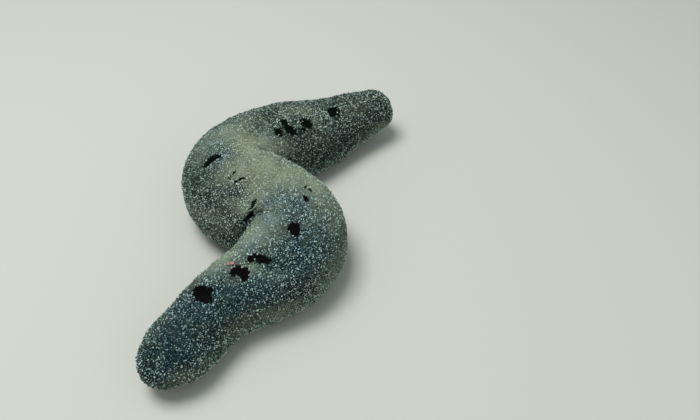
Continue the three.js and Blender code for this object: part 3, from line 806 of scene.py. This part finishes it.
def grain_mesh(name, seed, sides, flatness):
    """One angular sand grain, a unit across, from a rough ball of few faces."""
    random = np.random.default_rng(seed)
    maker = bmesh.new()
    if sides > 8:
        bmesh.ops.create_icosphere(maker, subdivisions=1, radius=0.5)
    else:
        bmesh.ops.create_cone(maker, segments=4, radius1=0.5, radius2=0.0, depth=0.5, cap_ends=False)
        mirrored = bmesh.ops.duplicate(maker, geom=maker.verts[:] + maker.faces[:])["geom"]
        flipped = [v for v in mirrored if isinstance(v, bmesh.types.BMVert)]
        for vertex in flipped:
            vertex.co.z = -0.5 - vertex.co.z
        bmesh.ops.remove_doubles(maker, verts=maker.verts, dist=1e-4)
        for vertex in maker.verts:
            vertex.co.z += 0.25
    stretch = Vector((random.uniform(0.85, 1.25), random.uniform(0.6, 0.95), random.uniform(*flatness)))
    for vertex in maker.verts:
        vertex.co *= 1 + random.uniform(-0.3, 0.3)
        vertex.co = Vector(c * s for c, s in zip(vertex.co, stretch))
    bmesh.ops.recalc_face_normals(maker, faces=maker.faces)
    mesh = bpy.data.meshes.new(name)
    maker.to_mesh(mesh)
    maker.free()
    return mesh


def turned_mesh(name, profile, sides, shape=None, smooth_shaded=True):
    """A closed turned form on +Z from pairs of radius and height, with an optional change round it."""
    angles = np.arange(sides) / sides * 2 * np.pi
    rings = []
    for level, (radius, z) in enumerate(profile):
        r = radius * (shape(angles, level) if shape else np.ones(sides))
        rings.append(np.c_[r * np.cos(angles), r * np.sin(angles), np.full(sides, z)])
    rows = len(profile)
    tips = [(0, 0, profile[0][1]), (0, 0, profile[-1][1])]
    vertices = np.vstack(rings + [tips]).tolist()
    faces = [tuple(face) for face in grid_faces(rows, sides)]
    mesh = bpy.data.meshes.new(name)
    mesh.from_pydata(vertices, [], faces)
    maker = bmesh.new()
    maker.from_mesh(mesh)
    bmesh.ops.remove_doubles(maker, verts=maker.verts, dist=1e-9)
    bmesh.ops.recalc_face_normals(maker, faces=maker.faces)
    maker.to_mesh(mesh)
    maker.free()
    if smooth_shaded:
        mesh.shade_smooth()
    return mesh


def shader(name, roughness, specular=0.5):
    """A new material with its Principled shader, and a maker for its nodes."""
    material = bpy.data.materials.new(name)
    material.use_nodes = True
    material.node_tree.nodes.clear()
    maker = Tree(material.node_tree)
    gloss = {"Roughness": roughness, "Specular IOR Level": specular}
    surface = maker.add("ShaderNodeBsdfPrincipled", gloss)
    maker.add("ShaderNodeOutputMaterial", {"Surface": surface.outputs[0]})
    return material, maker, surface


def roughen(maker, surface, height, strength, distance):
    """Relief too fine for the mesh."""
    relief = {"Height": height, "Strength": strength, "Distance": distance}
    maker.join(maker.add("ShaderNodeBump", relief).outputs[0], surface.inputs["Normal"])


def attribute(maker, name):
    """A named number of the mesh, inside a material."""
    return maker.add("ShaderNodeAttribute", attribute_name=name).outputs["Fac"]


def mix_colour(maker, share, a, b, blend="MIX"):
    """A colour between a and b, where either may be a socket or a plain colour."""
    node = maker.tree.nodes.new("ShaderNodeMix")
    node.data_type = "RGBA"
    node.blend_type = blend
    node.clamp_factor = True
    for index, value in ((0, share), (6, a), (7, b)):
        if isinstance(value, bpy.types.NodeSocket):
            maker.tree.links.new(value, node.inputs[index])
        elif index == 0:
            node.inputs[index].default_value = value
        else:
            node.inputs[index].default_value = (*value[:3], 1.0)
    return node.outputs[2]


def ramp(maker, share, stops):
    """A colour ramp through stops of place and colour."""
    node = maker.add("ShaderNodeValToRGB", {"Fac": share})
    while len(node.color_ramp.elements) < len(stops):
        node.color_ramp.elements.new(0.5)
    for element, (place, colour) in zip(node.color_ramp.elements, stops):
        element.position = place
        element.color = (*colour, 1.0)
    return node.outputs[0]


def noise(maker, size, detail=3.0, roughness=0.6):
    """Noise on the object's own coordinates with lumps of the given size in metres."""
    where = maker.add("ShaderNodeTexCoord").outputs["Object"]
    return maker.add("ShaderNodeTexNoise", {
        "Vector": where, "Scale": 1 / size, "Detail": detail, "Roughness": roughness,
    }).outputs["Fac"]


# Colours, as linear values.
HIDE_BLACK = (0.0010, 0.0011, 0.0014)
HIDE_BROWN = (0.0030, 0.0020, 0.0018)
HIDE_GREEN = (0.0022, 0.0062, 0.0040)
FILM_DARK = (0.0045, 0.0090, 0.0095)
FILM_PALE = (0.0240, 0.0400, 0.0360)
SILT_GREEN = (0.250, 0.335, 0.242)
SILT_BEIGE = (0.375, 0.420, 0.262)
SILT_GREY = (0.235, 0.290, 0.275)
SAND_STOPS = [
    (0.00, (0.016, 0.028, 0.026)),
    (0.25, (0.075, 0.112, 0.096)),
    (0.50, (0.210, 0.290, 0.245)),
    (0.75, (0.370, 0.470, 0.400)),
    (1.00, (0.640, 0.760, 0.680)),
]
BLUE_ON_HIDE = (0.60, 1.25, 1.78)
BLUE_ON_SAND = (0.80, 0.97, 1.12)


def cast_group():
    """A shader group that gives the coat its zones: blue in front, beige and green where silt lies."""
    m, value = node_group("Coat zones", "ShaderNodeTree", [
        ("Colour", "Color"), ("Blue", "Color"), ("Silt share", "Float"),
    ])
    blue = mix_colour(m, 1.0, value["Colour"], value["Blue"], "MULTIPLY")
    cool = mix_colour(m, attribute(m, "blue"), value["Colour"], blue)
    dust = mix_colour(m, noise(m, 0.011), SILT_GREEN, SILT_BEIGE)
    dust = mix_colour(m, attribute(m, "blue"), dust, SILT_GREY)
    share = m.math("MULTIPLY", attribute(m, "silt"), value["Silt share"], clamp=True)
    m.add("NodeGroupOutput", {"Colour": mix_colour(m, share, cool, dust)})
    return m.tree


def in_zones(maker, group, colour, blue, share):
    """Runs a colour through the coat's zones."""
    given = {"Colour": colour, "Blue": (*blue, 1.0), "Silt share": share}
    return maker.add("ShaderNodeGroup", given, node_tree=group).outputs[0]


def skin_material(zones_group):
    """Black hide: brownish in the fore patches, greenish in the hind ones, filmed with silt elsewhere."""
    material, m, surface = shader("wet_black_hide", 0.6, 0.02)
    fine = noise(m, 0.0011, 4.0)
    broad = noise(m, 0.006, 3.0)
    hind = ramp_share(m, attribute(m, "along"), 0.28, 0.56)
    mottle = mix_colour(m, hind, HIDE_BROWN, HIDE_GREEN)
    bare_hide = mix_colour(m, broad, HIDE_BLACK, mottle)
    film = mix_colour(m, ramp_share(m, fine, 0.42, 0.62), FILM_DARK, FILM_PALE)
    silt_share = m.math("MULTIPLY_ADD", fine, 0.75)
    silt_share.node.inputs[2].default_value = 0.25
    coated = in_zones(m, zones_group, film, BLUE_ON_HIDE, silt_share)
    where = m.add("ShaderNodeTexCoord").outputs["Object"]
    bare = cut_ragged(m, attribute(m, "bare"), where)
    m.join(mix_colour(m, bare, coated, bare_hide), surface.inputs["Base Color"])
    roughen(m, surface, fine, 0.5, 0.00025)
    return material


def sand_material(name, zones_group, silt_share, shift):
    """Mixed grains of pale, grey and dark sand, each one colour of its own."""
    material, m, surface = shader(name, 0.62, 0.3)
    # The dark mask darkens the grains: the dark speckle, and painted shade on the lower right flanks.
    darker = m.math("MULTIPLY", attribute(m, "dark"), shift)
    value = m.math("SUBTRACT", attribute(m, "tint"), darker, clamp=True)
    grains = ramp(m, value, SAND_STOPS)
    m.join(in_zones(m, zones_group, grains, BLUE_ON_SAND, silt_share), surface.inputs["Base Color"])
    roughen(m, surface, noise(m, 0.0003, 2.0), 0.4, 0.00008)
    return material


def papilla_material(zones_group):
    """The hide's film with the silt of its zone, for the small papillae of the back."""
    material, m, surface = shader("papilla_hide", 0.6, 0.15)
    film = mix_colour(m, noise(m, 0.0009, 3.0), FILM_DARK, FILM_PALE)
    m.join(in_zones(m, zones_group, film, BLUE_ON_HIDE, 0.85), surface.inputs["Base Color"])
    return material


def soft_material(name, dark, pale, size, roughness):
    """Soft wet tissue, mottled between two colours."""
    material, m, surface = shader(name, roughness)
    mottle = noise(m, size, 3.0)
    m.join(mix_colour(m, ramp_share(m, mottle, 0.35, 0.65), dark, pale), surface.inputs["Base Color"])
    roughen(m, surface, mottle, 0.35, 0.0002)
    return material


def carry(obj):
    """The piece goes with the body."""
    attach(obj, ROOT)
    return obj


def grain_collection(kind, seed, sides):
    """Six grains of one kind to scatter."""
    grains = [grain_mesh(f"{kind}_{i}", seed + i, sides, (0.6, 0.95)) for i in range(6)]
    return piece_collection(f"{kind}_grains", grains)


def make_sand(skin, tree, zones_group):
    """The coat: coarse grains thinned over the silt, and fine grains and silt lumps between them."""
    sizes = {
        "coarse": dict(Pieces=grain_collection("coarse", 40, 20), Apart=0.00060, Density=3.0e6,
                       Smallest=0.00036, Largest=0.00104, Tilt=0.9, Sink=-0.00008,
                       Material=sand_material("coarse_sand", zones_group, 0.45, 0.34)),
        "fine": dict(Pieces=grain_collection("fine", 60, 8), Apart=0.00046, Density=2.8e6,
                     Smallest=0.00030, Largest=0.00068, Tilt=0.7, Sink=-0.00005,
                     Material=sand_material("fine_sand", zones_group, 0.70, 0.45)),
    }
    cuts = {"coarse": [-0.1, 0.17, 0.30, 0.42, 0.54, 0.68, 0.82, 1.1], "fine": [-0.1, 0.26, 0.47, 0.70, 1.1]}
    for kind, settings in sizes.items():
        for i, (start, end) in enumerate(zip(cuts[kind], cuts[kind][1:])):
            piece = scattered(f"{kind}_sand_{i + 1}", tree, skin, Mask=kind, From=start, To=end,
                              Seed=i + 3, **settings)
            carry(piece)
        discard(settings["Pieces"])


def make_papillae(skin, tree, hide, look):
    """Low pointed papillae over the back and a denser ring of them round the mouth."""
    forms = [
        turned_mesh(f"papilla_{i}", [(1.0, -0.9), (0.86, 0.0), (0.52, 0.5), (0.24, 0.86), (0.05, 1.0)], 9,
                    lambda a, level, i=i: 1 + 0.08 * np.sin(3 * a + i + level))
        for i in range(3)
    ]
    pieces = piece_collection("papilla_forms", forms)
    back = scattered("papillae", tree, skin, Pieces=pieces, Mask="back", Apart=0.0042, Density=8.0e4,
                     Seed=21, Smallest=0.00050, Largest=0.00085, Tilt=0.15, Material=hide)
    collar = scattered("mouth_papillae", tree, skin, Pieces=pieces, Mask="collar", To=0.2, Apart=0.0013,
                       Density=1.2e6, Seed=22, Smallest=0.0004, Largest=0.0007, Tilt=0.2, Sink=0.0002,
                       Material=look)
    discard(pieces)
    carry(back)
    carry(collar)


def make_feet(skin, tree, look):
    """Tube feet all over the sole: short soft stalks with flat sucker discs on the floor."""
    reach = SOLE_HEIGHT + 0.2
    profile = [(0.5, -1.1), (0.48, 0.0), (0.40, 0.25 * reach), (0.42, 0.55 * reach), (0.72, 0.80 * reach),
               (0.80, 0.94 * reach), (0.70, 1.0 * reach), (0.30, 1.0 * reach)]
    forms = [turned_mesh(f"foot_{i}", profile, 10, lambda a, level, i=i: 1 + 0.05 * np.sin(2 * a + i + level))
             for i in range(3)]
    for form in forms:
        form.transform(Matrix.Scale(MM, 4))
    pieces = piece_collection("foot_forms", forms)
    feet = scattered("tube_feet", tree, skin, Pieces=pieces, Mask="feet", Apart=0.0026, Density=1.6e5,
                     Seed=31, Smallest=0.99, Largest=1.0, Tilt=0.0, Material=look)
    discard(pieces)
    carry(feet)


def tentacle_mesh(seed):
    """One shield-shaped tentacle in millimetres: a stalk and a disc of branching knobs."""
    random = np.random.default_rng(seed)
    profile = [(0.62, -1.2), (0.52, 0.0), (0.44, 1.2), (0.50, 2.0), (0.75, 2.5), (0.3, 2.7)]
    stalk = turned_mesh("stalk", profile, 10)
    maker = bmesh.new()
    maker.from_mesh(stalk)
    rings = [(1, 0.0, 0.42, 2.95), (6, 0.62, 0.34, 2.85), (11, 1.12, 0.27, 2.62)]
    for count, radius, knob, level in rings:
        for i in range(count):
            angle = (i + random.uniform(-0.2, 0.2)) / count * math.tau
            r = radius * random.uniform(0.92, 1.08)
            z = level + random.uniform(-0.1, 0.1)
            place = Matrix.Translation((r * math.cos(angle), r * math.sin(angle), z))
            size = Matrix.Diagonal((*([knob * random.uniform(0.85, 1.15)] * 3), 1.0))
            bmesh.ops.create_icosphere(maker, subdivisions=2, radius=1.0, matrix=place @ size)
    mesh = bpy.data.meshes.new(f"tentacle_{seed}")
    maker.to_mesh(mesh)
    maker.free()
    bpy.data.meshes.remove(stalk)
    mesh.shade_smooth()
    return mesh


def ring_tree():
    """Sets pieces round a ring about +Z, leaning outwards, every other one further."""
    m, value = node_group("Ring of pieces", "GeometryNodeTree", [
        ("Geometry", "Geometry"), ("Pieces", "Collection"), ("Count", "Int"), ("Radius", "Float"),
        ("Lean", "Float"), ("More", "Float"), ("Size", "Float"), ("Seed", "Int"), ("Material", "Material"),
    ])
    given = {"Vertices": value["Count"], "Radius": value["Radius"]}
    circle = m.add("GeometryNodeMeshCircle", given).outputs[0]
    index = m.add("GeometryNodeInputIndex").outputs[0]
    angle = m.math("DIVIDE", m.math("MULTIPLY", index, math.tau), value["Count"])
    every_other = m.math("MODULO", index, 2.0)
    lean = m.math("ADD", value["Lean"], m.math("MULTIPLY", every_other, value["More"]))
    lean = m.math("ADD", lean, m.draw(-0.08, 0.08, value["Seed"]))
    turn = m.add("ShaderNodeCombineXYZ", {"Y": lean, "Z": angle}).outputs[0]
    size = m.draw(0.86, 1.1, value["Seed"])
    placed = m.add("GeometryNodeInstanceOnPoints", {
        "Points": circle, "Instance": chosen(m, value["Pieces"]), "Pick Instance": True,
        "Rotation": m.add("FunctionNodeEulerToRotation", {0: turn}).outputs[0],
        "Scale": m.math("MULTIPLY", size, value["Size"]),
    }).outputs[0]
    return finished(m, m.add("GeometryNodeRealizeInstances", {"Geometry": placed}).outputs[0], value)


def ringed(name, tree, slot, forms, place, **inputs):
    """Sets a ring of pieces about +Z of a frame in millimetres."""
    pieces = piece_collection(name + "_forms", forms)
    ring = run_tree(name, tree, bpy.data.meshes.new(name + "_start"), Pieces=pieces, **inputs)
    discard(pieces)
    ring.data.transform(Matrix.Scale(MM, 4) @ place)
    ring.data.shade_smooth()
    carry(ring)


def make_mouth(tree, look):
    """The mouth's disc with radial folds round the gullet, and its crown of tentacles."""
    back = MOUTH["depth"] - 1.6
    profile = [(6.3, -2.2), (6.4, -1.2), (5.6, -0.4), (4.4, 0.1), (3.2, 0.35),
               (2.2, 0.2), (1.6, -0.3), (1.2, -1.2), (0.7, -1.9)]
    disc = turned_mesh("mouth_disc", profile, 60,
                       lambda a, level: 1 + (0.05 if level > 2 else 0.01) * np.cos(20 * a))
    place = mouth_frame() @ Matrix.Translation((0, 0, -back))
    disc.transform(Matrix.Scale(MM, 4) @ place)
    disc.materials.append(look)
    disc_piece = link(bpy.data.objects.new("mouth_disc", disc))
    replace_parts(carry(disc_piece), "oral_disc")
    ringed("mouth_tentacles", tree, "mouth_tissue", [tentacle_mesh(seed) for seed in (3, 4, 5)], place,
           Count=20, Radius=4.3, Lean=0.36, More=0.34, Size=0.95, Seed=5, Material=look)


def make_anal_papillae(tree, look):
    """Blunt papillae in a ring round the anus."""
    form = turned_mesh("anal_papilla", [(0.7, -1.4), (0.6, 0.0), (0.45, 0.6), (0.28, 1.0), (0.08, 1.2)], 10)
    ringed("anal_papillae", tree, "skin", [form], anus_frame() @ Matrix.Translation((0, 0, -0.9)),
           Count=15, Radius=3.5, Lean=0.30, More=0.12, Size=0.8, Seed=8, Material=look)


def make_shell_flake():
    """A sliver of pink shell stuck to the coat beside the second bare patch."""
    point, along, across, normal = surface_frame(0.2100, math.radians(11))
    mesh = turned_mesh("shell_flake", [(0.5, -0.25), (1.0, -0.1), (1.0, 0.1), (0.5, 0.25)], 9,
                       lambda a, level: 1 + 0.18 * np.sin(2 * a + level) + 0.1 * np.sin(5 * a), False)
    size = Matrix.Diagonal((0.8, 2.5, 1.0, 1.0))
    place = frame_matrix(Vector(along), Vector(across), Vector(normal), point + normal * 0.15)
    turn = Matrix.Rotation(math.radians(48), 4, "Z")
    mesh.transform(Matrix.Scale(MM, 4) @ place @ turn @ size)
    mesh.materials.append(soft_material("pink_shell", (0.17, 0.060, 0.055), (0.36, 0.20, 0.19), 0.0008, 0.5))
    carry(link(bpy.data.objects.new("shell_flake", mesh)))


def make_camera():
    """The photograph's view: a slant down at the floor, with one floor point on its own pixel."""
    forward = Vector((0, math.cos(CAMERA_PITCH), -math.sin(CAMERA_PITCH)))
    upward = Vector((0, math.sin(CAMERA_PITCH), math.cos(CAMERA_PITCH)))
    right = Vector((1, 0, 0))
    focal = PHOTO_SIZE[0] / 2 / math.tan(CAMERA_FIELD / 2)
    aim = forward + right * ((FLOOR_PIXEL[0] - PHOTO_SIZE[0] / 2) / focal)
    aim = aim - upward * ((FLOOR_PIXEL[1] - PHOTO_SIZE[1] / 2) / focal)
    data = bpy.data.cameras.new("camera")
    data.sensor_width = 36.0
    data.lens = data.sensor_width / 2 / math.tan(CAMERA_FIELD / 2)
    data.clip_start = 0.01
    camera = link(bpy.data.objects.new("camera", data))
    camera.location = FLOOR_POINT - aim.normalized() * CAMERA_DISTANCE
    camera.rotation_euler = (math.pi / 2 - CAMERA_PITCH, 0, 0)
    bpy.context.scene.camera = camera


def make_stage():
    """A plain pale floor, a soft key light from the upper left and a pale sky."""
    floor_mesh = bpy.data.meshes.new("floor")
    half = 4.0
    corners = [(-half, -half, 0), (half, -half, 0), (half, half, 0), (-half, half, 0)]
    floor_mesh.from_pydata(corners, [], [(0, 1, 2, 3)])
    material, _, surface = shader("pale_floor", 0.9)
    surface.inputs["Base Color"].default_value = (0.52, 0.53, 0.48, 1.0)
    floor_mesh.materials.append(material)
    floor = link(bpy.data.objects.new("floor", floor_mesh))
    floor.location.z = -0.0001
    for name, place, size, power in (
        ("key", (-0.26, 0.04, 1.00), 0.50, 9.5),
        ("fill", (0.60, -0.70, 0.60), 0.9, 1.6),
    ):
        data = bpy.data.lights.new(name, "AREA")
        data.size = size
        data.energy = power
        light = link(bpy.data.objects.new(name, data))
        light.location = place
        light.rotation_euler = (-Vector(place)).to_track_quat("-Z", "Y").to_euler()
    world = bpy.data.worlds.new("sky")
    world.use_nodes = True
    sky = world.node_tree.nodes["Background"]
    sky.inputs["Color"].default_value = (0.80, 0.90, 0.92, 1.0)
    sky.inputs["Strength"].default_value = 0.42
    bpy.context.scene.world = world


bpy.context.scene.view_settings.view_transform = "Standard"
make_camera()
make_stage()
zones_of_coat = cast_group()
skin = make_skin()
skin.data.materials.append(skin_material(zones_of_coat))
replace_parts(carry(skin), *(name for name in frame["nodes"] if name != "oral_disc"))
scatter = scatter_tree()
ring = ring_tree()
hide_look = soft_material("anal_hide", (0.010, 0.012, 0.014), (0.050, 0.055, 0.050), 0.0012, 0.5)
mouth_look = soft_material("mouth_tissue", (0.020, 0.016, 0.012), (0.085, 0.070, 0.050), 0.0010, 0.42)
foot_look = soft_material("foot_tissue", (0.045, 0.038, 0.030), (0.180, 0.160, 0.120), 0.0012, 0.5)
make_sand(skin, scatter, zones_of_coat)
make_papillae(skin, scatter, papilla_material(zones_of_coat), mouth_look)
make_feet(skin, scatter, foot_look)
make_mouth(ring, mouth_look)
make_anal_papillae(ring, hide_look)
make_shell_flake()
